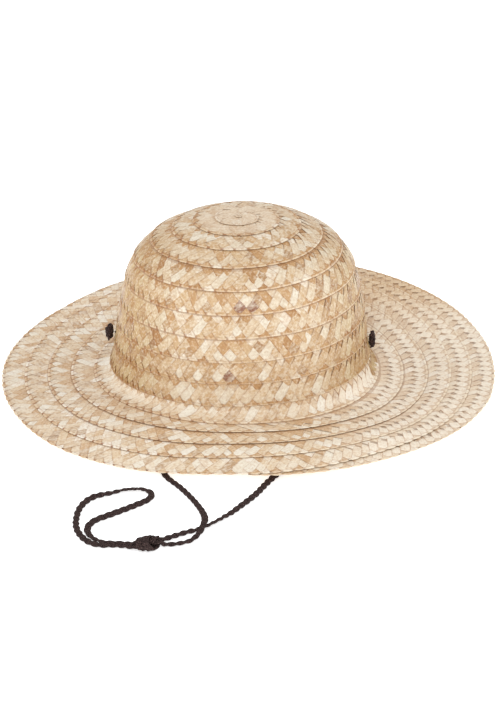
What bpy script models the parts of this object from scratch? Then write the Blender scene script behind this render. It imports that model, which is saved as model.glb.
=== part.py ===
"""Straw hat sewn from a flat plaited braid, with a braided chin cord.

The crown is a domed shell and the brim a wavy ring around its foot. Both carry the lapped
rows of the braid: the lower edge of each row lies on the row outside it. The chin cord comes
through a hole at each side of the crown, runs down inside it and under the brim, and lies on
the surface in front, where both strands are tied in one knot with a loop beyond it.

Frame: the surface that the hat rests on is Z = 0, -Y is the wearer's front, and the origin
is the middle of the brim's outline. Everything is in metres.
"""
import bisect
import math

import bmesh
import bpy
from mathutils import Vector

# Driving sizes
CROWN_WIDTH = 0.185
CROWN_DEPTH = 0.1845
CROWN_TOP = 0.1186
CROWN_LEAN = 0.0017
BRIM_WIDTH = 0.0784
BRIM_OFFSET = 0.0013
ROW_PITCH = 0.0161
BRAID_WALL = 0.0018
LAP_RISE = 0.0008
LAP_EDGE = 0.0004
BEND_LENGTH = 0.011
RIM_LAND = 0.006
CORD_DIAMETER = 0.0036
HOLE_CLEARANCE = 0.0005
PIECE_GAP = 0.0003
LEFT_HOLE_HEIGHT = 0.033
RIGHT_HOLE_HEIGHT = 0.025
HOLE_FORWARD = 0.003
SIDE_KNOT_SIZE = (0.0062, 0.0080, 0.0136)
CHIN_KNOT_SIZE = (0.0132, 0.0124, 0.0096)
CHIN_KNOT_PLACE = (-0.0575, -0.2390)

# How finely the shapes are drawn
BEARING_STEPS = 72
WALK_STEP = 0.0005
CORD_POINT_SPACING = 0.0125
DOME_ROWS = 6

# The braid's tail: clockwise bearings, in degrees from the right-hand side (+X) towards the
# front, between which the outermost row narrows to nothing
TAIL_START = 20.0
TAIL_END = 90.0
WALL_SLOPE = math.radians(82.0)

# Crown profile: height as a share of foot to top, half width as a share of the foot's
CROWN_PROFILE = [
    {"height": 0.000, "width": 1.000},
    {"height": 0.120, "width": 0.969},
    {"height": 0.300, "width": 0.944},
    {"height": 0.500, "width": 0.903},
    {"height": 0.680, "width": 0.844},
    {"height": 0.820, "width": 0.726},
    {"height": 0.920, "width": 0.528},
    {"height": 0.975, "width": 0.352},
    {"height": 1.000, "width": 0.000},
]

# Height of the brim's upper face above the surface, as shares of BRIM_WIDTH: at the crown's
# foot, where the bend ends, and at three places across the brim, given as shares of its width
BRIM_PLACES = {"inner": 0.35, "middle": 0.68, "rim": 1.0}
BRIM_WAVES = [
    {"bearing": 0, "foot": 0.148, "bend": 0.046, "inner": 0.017, "middle": 0.062, "rim": 0.084},
    {"bearing": 30, "foot": 0.138, "bend": 0.042, "inner": 0.068, "middle": 0.136, "rim": 0.134},
    {"bearing": 60, "foot": 0.134, "bend": 0.052, "inner": 0.128, "middle": 0.214, "rim": 0.165},
    {"bearing": 90, "foot": 0.132, "bend": 0.056, "inner": 0.144, "middle": 0.216, "rim": 0.148},
    {"bearing": 120, "foot": 0.130, "bend": 0.044, "inner": 0.094, "middle": 0.138, "rim": 0.076},
    {"bearing": 150, "foot": 0.134, "bend": 0.042, "inner": 0.043, "middle": 0.040, "rim": 0.016},
    {"bearing": 180, "foot": 0.160, "bend": 0.068, "inner": 0.045, "middle": 0.034, "rim": 0.015},
    {"bearing": 210, "foot": 0.197, "bend": 0.108, "inner": 0.091, "middle": 0.060, "rim": 0.016},
    {"bearing": 240, "foot": 0.220, "bend": 0.141, "inner": 0.152, "middle": 0.130, "rim": 0.055},
    {"bearing": 270, "foot": 0.220, "bend": 0.149, "inner": 0.182, "middle": 0.191, "rim": 0.124},
    {"bearing": 300, "foot": 0.200, "bend": 0.120, "inner": 0.141, "middle": 0.159, "rim": 0.114},
    {"bearing": 330, "foot": 0.172, "bend": 0.077, "inner": 0.056, "middle": 0.073, "rim": 0.067},
]

# The cord's route, chosen by hand, measured from the crown's axis
LEFT_ROUTE = [
    (-0.0886, -0.0030, 0.0330), (-0.0862, -0.0030, 0.0328), (-0.0838, -0.0032, 0.0308),
    (-0.0828, -0.0040, 0.0270), (-0.0824, -0.0062, 0.0180), (-0.0812, -0.0105, 0.0088),
    (-0.0790, -0.0190, 0.0034), (-0.0758, -0.0300, 0.0018), (-0.0690, -0.0620, 0.0018),
    (-0.0600, -0.1050, 0.0018), (-0.0495, -0.1519, 0.0018), (-0.0394, -0.1684, 0.0018),
    (-0.0327, -0.1806, 0.0018), (-0.0281, -0.1907, 0.0020), (-0.0242, -0.2019, 0.0030),
    (-0.0228, -0.2116, 0.0052), (-0.0236, -0.2200, 0.0060), (-0.0262, -0.2278, 0.0040),
    (-0.0310, -0.2332, 0.0020), (-0.0377, -0.2362, 0.0018), (-0.0440, -0.2378, 0.0022),
    (-0.0503, -0.2390, 0.0034),
]
RIGHT_ROUTE = [
    (0.0891, -0.0030, 0.0250), (0.0867, -0.0030, 0.0247), (0.0846, -0.0033, 0.0228),
    (0.0836, -0.0045, 0.0190), (0.0830, -0.0080, 0.0110), (0.0812, -0.0150, 0.0045),
    (0.0780, -0.0250, 0.0019), (0.0715, -0.0480, 0.0018), (0.0590, -0.0850, 0.0018),
    (0.0430, -0.1210, 0.0018), (0.0255, -0.1497, 0.0018), (0.0169, -0.1638, 0.0018),
    (0.0085, -0.1802, 0.0018), (-0.0010, -0.1937, 0.0018), (-0.0104, -0.2058, 0.0018),
    (-0.0185, -0.2150, 0.0018), (-0.0250, -0.2205, 0.0018), (-0.0319, -0.2252, 0.0018),
    (-0.0380, -0.2288, 0.0018), (-0.0440, -0.2325, 0.0022), (-0.0503, -0.2349, 0.0034),
]
LOOP_ROUTE = [
    (-0.0647, -0.2430, 0.0034), (-0.0715, -0.2402, 0.0022), (-0.0785, -0.2390, 0.0018),
    (-0.0855, -0.2388, 0.0018), (-0.0915, -0.2362, 0.0018), (-0.0964, -0.2312, 0.0018),
    (-0.0998, -0.2250, 0.0018), (-0.1021, -0.2180, 0.0018), (-0.1031, -0.2087, 0.0018),
    (-0.1021, -0.1953, 0.0018), (-0.0972, -0.1842, 0.0018), (-0.0900, -0.1781, 0.0018),
    (-0.0776, -0.1726, 0.0018), (-0.0649, -0.1710, 0.0018), (-0.0595, -0.1728, 0.0018),
    (-0.0572, -0.1776, 0.0018), (-0.0592, -0.1840, 0.0018), (-0.0641, -0.1893, 0.0018),
    (-0.0732, -0.1965, 0.0018), (-0.0822, -0.2031, 0.0018), (-0.0906, -0.2090, 0.0018),
    (-0.0946, -0.2149, 0.0018), (-0.0952, -0.2208, 0.0018), (-0.0934, -0.2270, 0.0018),
    (-0.0902, -0.2316, 0.0018), (-0.0850, -0.2345, 0.0018), (-0.0785, -0.2349, 0.0018),
    (-0.0715, -0.2362, 0.0022), (-0.0647, -0.2390, 0.0034),
]


def clear_scene():
    for item in list(bpy.data.objects):
        bpy.data.objects.remove(item, do_unlink=True)


def make_collection(name):
    collection = bpy.data.collections.new(name)
    bpy.context.scene.collection.children.link(collection)
    return collection


def make_material(name, colour, roughness):
    material = bpy.data.materials.new(name)
    material.use_nodes = True
    shader = material.node_tree.nodes["Principled BSDF"]
    shader.inputs["Base Color"].default_value = (*colour, 1.0)
    shader.inputs["Roughness"].default_value = roughness
    shader.inputs["Metallic"].default_value = 0.0
    return material


def knot_slopes(places, values, first_slope=None):
    """Slopes at the knots of a curve that never swings past its knots' values."""
    steps = [b - a for a, b in zip(places, places[1:])]
    rises = [(b - a) / step for a, b, step in zip(values, values[1:], steps)]
    slopes = [rises[0]]
    for before, after in zip(rises, rises[1:]):
        same_way = before * after > 0.0
        slopes.append(2.0 * before * after / (before + after) if same_way else 0.0)
    slopes.append(rises[-1])
    if first_slope is not None:
        slopes[0] = first_slope
    return slopes


def smooth_value(places, values, slopes, place):
    """Value and slope at one place on the cubic curve through the knots."""
    index = min(max(bisect.bisect_right(places, place) - 1, 0), len(places) - 2)
    step = places[index + 1] - places[index]
    t = (place - places[index]) / step
    start, end = values[index], values[index + 1]
    lead, follow = slopes[index] * step, slopes[index + 1] * step
    value = (start * (2 * t**3 - 3 * t**2 + 1) + lead * (t**3 - 2 * t**2 + t)
             + end * (3 * t**2 - 2 * t**3) + follow * (t**3 - t**2))
    slope = (start * (6 * t**2 - 6 * t) + lead * (3 * t**2 - 4 * t + 1)
             + end * (6 * t - 6 * t**2) + follow * (3 * t**2 - 2 * t)) / step
    return value, slope


def wave_height(column, bearing):
    """One column of BRIM_WAVES at any bearing, in metres, running smoothly round the hat."""
    rows = [BRIM_WAVES[-2], BRIM_WAVES[-1], *BRIM_WAVES, BRIM_WAVES[0], BRIM_WAVES[1]]
    turns = [-1, -1] + [0] * len(BRIM_WAVES) + [1, 1]
    places = [row["bearing"] + 360.0 * turn for row, turn in zip(rows, turns)]
    values = [row[column] * BRIM_WIDTH for row in rows]
    return smooth_value(places, values, knot_slopes(places, values), bearing % 360.0)[0]


def clockwise(bearing):
    return (-bearing) % 360.0


def rim_distance(bearing):
    """Width of the brim along its slope. The braid winds outwards clockwise, a row a turn."""
    turned = clockwise(bearing)
    width = BRIM_WIDTH + ROW_PITCH * (turned - TAIL_END) / 360.0
    if turned < TAIL_END:
        left = min(1.0, (TAIL_END - turned) / (TAIL_END - TAIL_START))
        width += ROW_PITCH * left
    return width + BRIM_OFFSET * math.cos(math.radians(bearing))


class BrimSection:
    """The brim's upper face at one bearing: run outwards and height against slope distance."""

    def __init__(self, bearing):
        self.bearing = bearing
        self.width = rim_distance(bearing)
        places = [0.0, BEND_LENGTH]
        places += [share * self.width for share in BRIM_PLACES.values()]
        values = [wave_height(column, bearing) for column in ("foot", "bend", *BRIM_PLACES)]
        slopes = knot_slopes(places, values, -math.sin(WALL_SLOPE))
        self.runs, self.heights = [0.0], [values[0]]
        steps = max(2, math.ceil(self.width / WALK_STEP))
        self.step = self.width / steps
        for count in range(1, steps + 1):
            height = smooth_value(places, values, slopes, count * self.step)[0]
            height = max(height, BRAID_WALL)
            drop = height - self.heights[-1]
            self.runs.append(self.runs[-1] + math.sqrt(max(self.step**2 - drop**2, 0.0)))
            self.heights.append(height)

    def point(self, distance, rise):
        """World point at a distance from the foot, raised square to the upper face."""
        place = min(max(distance / self.step, 0.0), len(self.runs) - 1.001)
        index = int(place)
        part = place - index
        run_step = self.runs[index + 1] - self.runs[index]
        height_step = self.heights[index + 1] - self.heights[index]
        run = self.runs[index] + part * run_step
        height = self.heights[index] + part * height_step
        length = math.hypot(run_step, height_step)
        run -= rise * height_step / length
        height += rise * run_step / length
        angle = math.radians(self.bearing)
        return Vector(((CROWN_WIDTH / 2 + run) * math.cos(angle),
                       (CROWN_DEPTH / 2 + run) * math.sin(angle), height))


class CrownSection:
    """The crown's outer face: height share and width share against distance from the top."""

    def __init__(self, samples=400):
        places = [row["height"] for row in CROWN_PROFILE]
        squares = [row["width"] ** 2 for row in CROWN_PROFILE]
        slopes = knot_slopes(places, squares)
        rise = CROWN_TOP - wave_height("foot", 0.0)
        self.shares, self.distances = [], [0.0]
        for count in range(samples + 1):
            height = math.cos(math.pi / 2 * count / samples)
            width = math.sqrt(max(smooth_value(places, squares, slopes, height)[0], 0.0))
            self.shares.append((height, width))
        for (high, narrow), (low, wide) in zip(self.shares, self.shares[1:]):
            step = math.hypot((high - low) * rise, (wide - narrow) * CROWN_WIDTH / 2)
            self.distances.append(self.distances[-1] + step)
        self.length = self.distances[-1]

    def share(self, distance):
        index = min(max(bisect.bisect_right(self.distances, distance) - 1, 0),
                    len(self.distances) - 2)
        part = (distance - self.distances[index]) / (
            self.distances[index + 1] - self.distances[index])
        (high, narrow), (low, wide) = self.shares[index], self.shares[index + 1]
        return high + part * (low - high), narrow + part * (wide - narrow)

    def place(self, bearing, distance):
        height, width = self.share(distance)
        foot = wave_height("foot", bearing)
        angle = math.radians(bearing)
        return Vector((width * CROWN_WIDTH / 2 * math.cos(angle) + CROWN_LEAN * height,
                       width * CROWN_DEPTH / 2 * math.sin(angle),
                       foot + height * (CROWN_TOP - foot)))

    def point(self, bearing, distance, rise):
        """World point at a distance from the top, raised square to the outer face."""
        probe = WALK_STEP / 2
        centre = min(max(distance, probe), self.length - probe)
        along = self.place(bearing, centre + probe) - self.place(bearing, centre - probe)
        angle = math.radians(bearing)
        outward = Vector((math.cos(angle), math.sin(angle), 0.0))
        run, drop = along.dot(outward), along.z
        normal = (outward * -drop + Vector((0.0, 0.0, run))).normalized()
        if distance <= 0.0:
            normal = Vector((0.0, 0.0, 1.0))
        return self.place(bearing, distance) + normal * rise


def crown_rows(crown):
    return max(3, round(crown.length / ROW_PITCH))


def brim_rows():
    return max(2, round(BRIM_WIDTH / ROW_PITCH))


def brim_loop(section):
    """Closed loop of points round the brim's cut at one bearing: upper face, then under face."""
    rows = brim_rows()
    seams = [section.width * count / rows for count in range(rows + 1)]
    bend = [BEND_LENGTH * part / 3 for part in (1, 2, 3)]
    upper = [(PIECE_GAP / 2, 0.0)]
    upper += [(place, LAP_RISE * place / seams[1]) for place in bend]
    for count in range(1, rows + 1):
        upper.append((seams[count], LAP_RISE))
        if count < rows:
            upper.append((seams[count] + LAP_EDGE, 0.0))
    under = [section.width, section.width - RIM_LAND, *reversed(seams[1:-1])]
    under += [*reversed(bend), PIECE_GAP / 2]
    loop = [section.point(place, rise) for place, rise in upper]
    loop += [section.point(place, -BRAID_WALL) for place in under]
    return loop


def crown_line(crown, bearing):
    """Open line of points down the crown's outer face and up its inner face, without the top."""
    rows = crown_rows(crown)
    pitch = crown.length / rows
    outer, inner = [], []
    for count in range(rows):
        start, end = count * pitch, (count + 1) * pitch
        if count > 0:
            outer.append((start + LAP_EDGE, 0.0))
        if count < DOME_ROWS:
            middle = (start + end) / 2
            outer.append((middle, LAP_RISE / 2))
            inner.append(middle)
        if count == rows - 1:
            end -= PIECE_GAP / 2
        outer.append((end, LAP_RISE if count < rows - 1 else LAP_RISE / 2))
        inner.append(end)
    line = [crown.point(bearing, place, rise) for place, rise in outer]
    line += [crown.point(bearing, place, -BRAID_WALL) for place in reversed(inner)]
    return line


def bearings():
    return [360.0 * count / BEARING_STEPS for count in range(BEARING_STEPS)]


def add_mesh(name, build, collection, material):
    mesh = bpy.data.meshes.new(name)
    shape = bmesh.new()
    build(shape)
    bmesh.ops.recalc_face_normals(shape, faces=shape.faces)
    shape.to_mesh(mesh)
    shape.free()
    mesh.shade_smooth()
    mesh.set_sharp_from_angle(angle=math.radians(35.0))
    mesh.materials.append(material)
    item = bpy.data.objects.new(name, mesh)
    collection.objects.link(item)
    return item


def join_lines(shape, lines, closed_across):
    """Faces between neighbouring lines, which run right round the hat."""
    grid = [[shape.verts.new(point) for point in line] for line in lines]
    count = len(grid[0])
    for here, there in zip(grid, grid[1:] + grid[:1]):
        for index in range(count if closed_across else count - 1):
            after = (index + 1) % count
            shape.faces.new((here[index], here[after], there[after], there[index]))
    return grid


def build_brim(shape):
    sections = [BrimSection(bearing) for bearing in bearings()]
    join_lines(shape, [brim_loop(section) for section in sections], True)


def build_crown(shape):
    crown = CrownSection()
    grid = join_lines(shape, [crown_line(crown, bearing) for bearing in bearings()], False)
    for index, rise in ((0, 0.0), (-1, -BRAID_WALL)):
        top = shape.verts.new(crown.point(0.0, 0.0, rise))
        for here, there in zip(grid, grid[1:] + grid[:1]):
            shape.faces.new((here[index], there[index], top))


def outline_middle():
    """Middle of the brim's outline in plan, measured from the crown's axis."""
    loops = [brim_loop(BrimSection(bearing)) for bearing in bearings()]
    points = [point for loop in loops for point in loop]
    across = [point.x for point in points]
    along = [point.y for point in points]
    return Vector(((min(across) + max(across)) / 2, (min(along) + max(along)) / 2, 0.0))


def wall_place(side, height):
    """Outer face of the crown at a side hole: side is -1 for the left, 1 for the right."""
    crown = CrownSection()
    bearing = 0.0 if side > 0 else 180.0
    low, high = 0.0, crown.length
    for _ in range(40):
        middle = (low + high) / 2
        if crown.place(bearing, middle).z > height:
            low = middle
        else:
            high = middle
    return Vector((crown.place(bearing, low).x, -HOLE_FORWARD, height))


def cut_cord_hole(crown, side, height, collection):
    name = "hole_cutter_left" if side < 0 else "hole_cutter_right"
    mesh = bpy.data.meshes.new(name)
    shape = bmesh.new()
    radius = CORD_DIAMETER / 2 + HOLE_CLEARANCE
    bmesh.ops.create_cone(shape, cap_ends=True, segments=12, radius1=radius, radius2=radius,
                          depth=10 * BRAID_WALL)
    shape.to_mesh(mesh)
    shape.free()
    cutter = bpy.data.objects.new(name, mesh)
    cutter.rotation_euler = (0.0, math.pi / 2, 0.0)
    cutter.location = crown.location + wall_place(side, height)
    cutter.hide_render = True
    cutter.display_type = "WIRE"
    collection.objects.link(cutter)
    cut = crown.modifiers.new(name, "BOOLEAN")
    cut.operation = "DIFFERENCE"
    cut.object = cutter


def add_knot(name, size, centre, collection, material):
    def build(shape):
        bmesh.ops.create_uvsphere(shape, u_segments=14, v_segments=8, radius=0.5)
        bmesh.ops.scale(shape, vec=size, verts=shape.verts)

    knot = add_mesh(name, build, collection, material)
    knot.location = centre
    return knot


def smooth_route(route):
    """Points along a smooth curve through the route's own points."""
    knots = [Vector(point) for point in route]
    ends = [2 * knots[0] - knots[1], *knots, 2 * knots[-1] - knots[-2]]
    points = [knots[0]]
    for before, start, end, after in zip(ends, ends[1:], ends[2:], ends[3:]):
        length = (end - start).length
        lead = (end - before) * length / ((end - start).length + (start - before).length)
        follow = (after - start) * length / ((end - start).length + (after - end).length)
        parts = max(1, round(length / CORD_POINT_SPACING))
        for count in range(1, parts + 1):
            t = count / parts
            points.append(start * (2 * t**3 - 3 * t**2 + 1) + lead * (t**3 - 2 * t**2 + t)
                          + end * (3 * t**2 - 2 * t**3) + follow * (t**3 - t**2))
    return points


def add_cord(name, route, place, collection, material):
    curve = bpy.data.curves.new(name, "CURVE")
    curve.dimensions = "3D"
    curve.bevel_depth = CORD_DIAMETER / 2
    curve.bevel_resolution = 2
    curve.use_fill_caps = True
    points = smooth_route(route)
    spline = curve.splines.new("POLY")
    spline.points.add(len(points) - 1)
    for target, point in zip(spline.points, points):
        target.co = (*point, 1.0)
    curve.materials.append(material)
    cord = bpy.data.objects.new(name, curve)
    cord.location = place
    collection.objects.link(cord)
    return cord


def side_knot_centre(side, height):
    reach = LAP_RISE + PIECE_GAP + SIDE_KNOT_SIZE[0] / 2
    return wall_place(side, height) + Vector((side * reach, 0.0, 0.0))


def main():
    clear_scene()
    parts = make_collection("straw_hat")
    cutters = make_collection("cutters")
    straw_crown = make_material("straw_crown", (0.72, 0.52, 0.29), 0.5)
    straw_brim = make_material("straw_brim", (0.78, 0.62, 0.42), 0.5)
    cord_brown = make_material("cord_brown", (0.045, 0.028, 0.027), 0.85)
    place = -outline_middle()

    crown = add_mesh("crown", build_crown, parts, straw_crown)
    crown.location = place
    cut_cord_hole(crown, -1, LEFT_HOLE_HEIGHT, cutters)
    cut_cord_hole(crown, 1, RIGHT_HOLE_HEIGHT, cutters)
    brim = add_mesh("brim", build_brim, parts, straw_brim)
    brim.location = place

    add_knot("side_knot_left", SIDE_KNOT_SIZE,
             place + side_knot_centre(-1, LEFT_HOLE_HEIGHT), parts, cord_brown)
    add_knot("side_knot_right", SIDE_KNOT_SIZE,
             place + side_knot_centre(1, RIGHT_HOLE_HEIGHT), parts, cord_brown)
    knot_place = Vector((*CHIN_KNOT_PLACE, CHIN_KNOT_SIZE[2] / 2))
    add_knot("chin_knot", CHIN_KNOT_SIZE, place + knot_place, parts, cord_brown)
    add_cord("cord_left", LEFT_ROUTE, place, parts, cord_brown)
    add_cord("cord_right", RIGHT_ROUTE, place, parts, cord_brown)
    add_cord("cord_loop", LOOP_ROUTE, place, parts, cord_brown)


main()
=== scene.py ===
"""Straw hat: the plaited rows, the chin cord with its knots, and the studio stage.

The rows of the braid are modelled straw by straw on the hat's faces, and the cord as three
plaited yarns. Everything is in metres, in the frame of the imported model.
"""
import math

import bpy
import numpy as np
from bpy.props import FloatProperty, FloatVectorProperty, PointerProperty
from mathutils import Matrix, Vector


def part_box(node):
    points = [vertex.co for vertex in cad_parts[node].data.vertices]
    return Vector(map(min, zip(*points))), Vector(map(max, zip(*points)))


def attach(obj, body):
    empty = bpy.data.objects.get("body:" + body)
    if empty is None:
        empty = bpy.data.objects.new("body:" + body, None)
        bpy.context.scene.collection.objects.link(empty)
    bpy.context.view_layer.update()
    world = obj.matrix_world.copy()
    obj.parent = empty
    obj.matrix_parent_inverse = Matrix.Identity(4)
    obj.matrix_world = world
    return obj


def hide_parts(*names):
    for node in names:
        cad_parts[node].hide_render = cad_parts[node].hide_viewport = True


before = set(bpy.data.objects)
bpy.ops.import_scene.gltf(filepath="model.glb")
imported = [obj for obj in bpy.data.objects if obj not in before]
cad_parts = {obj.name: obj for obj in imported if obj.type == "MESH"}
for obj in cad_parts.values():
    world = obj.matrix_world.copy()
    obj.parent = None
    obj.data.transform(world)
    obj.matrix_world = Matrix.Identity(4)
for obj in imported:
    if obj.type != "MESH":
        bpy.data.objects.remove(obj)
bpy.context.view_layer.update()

bl_info = {
    "name": "Straw Hat",
    "version": (1, 0, 0),
    "blender": (4, 5, 0),
    "location": "View3D > Sidebar > Straw Hat",
    "description": "Models a plaited straw hat with its chin cord",
    "category": "Object",
}

# The hat's faces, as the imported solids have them
CROWN_WIDTH = 0.185
CROWN_DEPTH = 0.1845
CROWN_TOP = 0.1186
CROWN_LEAN = 0.0017
BRIM_WIDTH = 0.0784
BRIM_OFFSET = 0.0013
ROW_PITCH = 0.0161
BRAID_WALL = 0.0018
BEND_LENGTH = 0.011
TAIL_START = 20.0
TAIL_END = 90.0
WALL_SLOPE = math.radians(82.0)
AXIS = np.array([-0.0047, -0.0027, 0.0])
CROWN_PROFILE = np.array([
    (0.000, 1.000), (0.120, 0.969), (0.300, 0.944), (0.500, 0.903), (0.680, 0.844),
    (0.820, 0.726), (0.920, 0.528), (0.975, 0.352), (1.000, 0.000),
])
BRIM_PLACES = (0.35, 0.68, 1.0)
# Height of the brim's upper face each 30 degrees, as shares of its width:
# foot, end of the bend, inner, middle and rim
BRIM_WAVES = np.array([
    (0.148, 0.046, 0.017, 0.062, 0.084),
    (0.138, 0.042, 0.068, 0.136, 0.134),
    (0.134, 0.052, 0.128, 0.214, 0.165),
    (0.132, 0.056, 0.144, 0.216, 0.148),
    (0.130, 0.044, 0.094, 0.138, 0.076),
    (0.134, 0.042, 0.043, 0.040, 0.016),
    (0.160, 0.068, 0.045, 0.034, 0.015),
    (0.197, 0.108, 0.091, 0.060, 0.016),
    (0.220, 0.141, 0.152, 0.130, 0.055),
    (0.220, 0.149, 0.182, 0.191, 0.124),
    (0.200, 0.120, 0.141, 0.159, 0.114),
    (0.172, 0.077, 0.056, 0.073, 0.067),
])

# The chin cord's route, measured from the crown's axis
LEFT_ROUTE = [
    (-0.0886, -0.0030, 0.0330), (-0.0862, -0.0030, 0.0328), (-0.0838, -0.0032, 0.0308),
    (-0.0828, -0.0040, 0.0270), (-0.0824, -0.0062, 0.0180), (-0.0812, -0.0105, 0.0088),
    (-0.0790, -0.0190, 0.0034), (-0.0758, -0.0300, 0.0018), (-0.0690, -0.0620, 0.0018),
    (-0.0600, -0.1050, 0.0018), (-0.0495, -0.1519, 0.0018), (-0.0394, -0.1684, 0.0018),
    (-0.0327, -0.1806, 0.0018), (-0.0281, -0.1907, 0.0020), (-0.0242, -0.2019, 0.0030),
    (-0.0228, -0.2116, 0.0052), (-0.0236, -0.2200, 0.0060), (-0.0262, -0.2278, 0.0040),
    (-0.0310, -0.2340, 0.0020), (-0.0377, -0.2370, 0.0018), (-0.0440, -0.2384, 0.0022),
    (-0.0503, -0.2390, 0.0034),
]
RIGHT_ROUTE = [
    (0.0891, -0.0030, 0.0250), (0.0867, -0.0030, 0.0247), (0.0846, -0.0033, 0.0228),
    (0.0836, -0.0045, 0.0190), (0.0830, -0.0080, 0.0110), (0.0812, -0.0150, 0.0045),
    (0.0780, -0.0250, 0.0019), (0.0715, -0.0480, 0.0018), (0.0590, -0.0850, 0.0018),
    (0.0430, -0.1210, 0.0018), (0.0255, -0.1497, 0.0018), (0.0169, -0.1638, 0.0018),
    (0.0085, -0.1802, 0.0018), (-0.0010, -0.1937, 0.0018), (-0.0104, -0.2058, 0.0018),
    (-0.0185, -0.2150, 0.0018), (-0.0250, -0.2198, 0.0018), (-0.0319, -0.2229, 0.0018),
    (-0.0380, -0.2263, 0.0018), (-0.0440, -0.2304, 0.0022), (-0.0503, -0.2349, 0.0034),
]
LOOP_ROUTE = [
    (-0.0647, -0.2424, 0.0034), (-0.0715, -0.2396, 0.0022), (-0.0785, -0.2384, 0.0018),
    (-0.0855, -0.2384, 0.0018), (-0.0915, -0.2362, 0.0018), (-0.0964, -0.2312, 0.0018),
    (-0.0998, -0.2250, 0.0018), (-0.1021, -0.2180, 0.0018), (-0.1031, -0.2087, 0.0018),
    (-0.1021, -0.1953, 0.0018), (-0.0972, -0.1842, 0.0018), (-0.0900, -0.1781, 0.0018),
    (-0.0776, -0.1726, 0.0018), (-0.0649, -0.1710, 0.0018), (-0.0595, -0.1728, 0.0018),
    (-0.0572, -0.1776, 0.0018), (-0.0592, -0.1840, 0.0018), (-0.0641, -0.1893, 0.0018),
    (-0.0732, -0.1965, 0.0018), (-0.0822, -0.2031, 0.0018), (-0.0906, -0.2090, 0.0018),
    (-0.0946, -0.2149, 0.0018), (-0.0952, -0.2208, 0.0018), (-0.0934, -0.2270, 0.0018),
    (-0.0902, -0.2316, 0.0018), (-0.0850, -0.2350, 0.0018), (-0.0785, -0.2359, 0.0018),
    (-0.0715, -0.2368, 0.0022), (-0.0647, -0.2392, 0.0034),
]
# How the two strands pass through the chin knot
KNOT_PASSES = (
    [(-0.0550, -0.2402, 0.0044), (-0.0600, -0.2420, 0.0044)],
    [(-0.0598, -0.2372, 0.0048), (-0.0550, -0.2358, 0.0046)],
)
KNOT_CENTRE = np.array([-0.0575, -0.2390])
# Height of the route where it lies on the surface, and past which it crosses something
ROUTE_FLOOR = 0.0018
LIFTED_HEIGHT = 0.0042
# How far out, and how far to the front, the cord runs along the crown's wall
WALL_DISTANCE = 0.078
WALL_FRONT = -0.12
FLOOR_ROOM = 0.0001
# Where the flat cord turns on its edge: a place beside it, in plan, and the turn in degrees
CORD_TURNS = [
    ((0.0300, -0.1420), -38.0), ((0.0085, -0.1802), -24.0), ((-0.0060, -0.2000), 2.0),
    ((-0.0170, -0.2135), 30.0), ((-0.0235, -0.2195), 22.0), ((-0.0300, -0.2240), 0.0),
]
LOOP_TURNS = [
    ((-0.0560, -0.2400), 0.0), ((-0.0785, -0.2384), 12.0), ((-0.0930, -0.2350), 12.0),
    ((-0.1020, -0.2180), 0.0), ((-0.0990, -0.1890), -22.0), ((-0.0930, -0.1800), -20.0),
    ((-0.0840, -0.1750), 8.0), ((-0.0740, -0.1718), 36.0), ((-0.0650, -0.1710), 30.0),
    ((-0.0600, -0.1725), 10.0), ((-0.0580, -0.1800), 5.0), ((-0.0641, -0.1893), 24.0),
    ((-0.0822, -0.2031), 30.0), ((-0.0906, -0.2090), 22.0),
    ((-0.0952, -0.2208), 0.0), ((-0.0900, -0.2316), 12.0), ((-0.0785, -0.2359), 12.0),
    ((-0.0570, -0.2362), 0.0),
]


def linear(colour):
    """A screen colour from 0 to 255 as the light values that a shader takes, with full alpha."""
    shares = [value / 255.0 for value in colour]
    lights = [v / 12.92 if v <= 0.04045 else ((v + 0.055) / 1.055) ** 2.4 for v in shares]
    return (*lights, 1.0)


def ease(low, high, value):
    """A smooth step from 0 at one value to 1 at another, which may be the lower one."""
    part = np.clip((value - low) / (high - low), 0.0, 1.0)
    return part * part * (3.0 - 2.0 * part)


# Smooth curves and the hat's faces

def knot_slopes(places, values, first_slope=None):
    """Slopes at the knots of a curve that never swings past its knots' values."""
    rises = np.diff(values) / np.diff(places)
    before, after = rises[:-1], rises[1:]
    same_way = before * after > 0.0
    total = np.where(same_way, before + after, 1.0)
    middle = np.where(same_way, 2.0 * before * after / total, 0.0)
    first = rises[0] if first_slope is None else first_slope
    return np.concatenate([[first], middle, [rises[-1]]])


def smooth_value(places, values, slopes, at):
    """The curve through the knots, at any place along it."""
    index = np.clip(np.searchsorted(places, at, side="right") - 1, 0, len(places) - 2)
    step = places[index + 1] - places[index]
    t = (at - places[index]) / step
    return (values[index] * (2 * t**3 - 3 * t**2 + 1) + slopes[index] * step * (t**3 - 2 * t**2 + t)
            + values[index + 1] * (3 * t**2 - 2 * t**3) + slopes[index + 1] * step * (t**3 - t**2))


def wave_height(column, bearing):
    """One column of BRIM_WAVES at any bearing, in metres."""
    values = BRIM_WAVES[:, column] * BRIM_WIDTH
    places = np.arange(-2, len(values) + 2) * 30.0
    values = np.concatenate([values[-2:], values, values[:2]])
    return smooth_value(places, values, knot_slopes(places, values), bearing % 360.0)


def rim_distance(bearing):
    """Width of the brim along its slope."""
    turned = (-bearing) % 360.0
    width = BRIM_WIDTH + ROW_PITCH * (turned - TAIL_END) / 360.0
    left = np.clip((TAIL_END - turned) / (TAIL_END - TAIL_START), 0.0, 1.0)
    return width + ROW_PITCH * left + BRIM_OFFSET * np.cos(np.radians(bearing))


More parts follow.
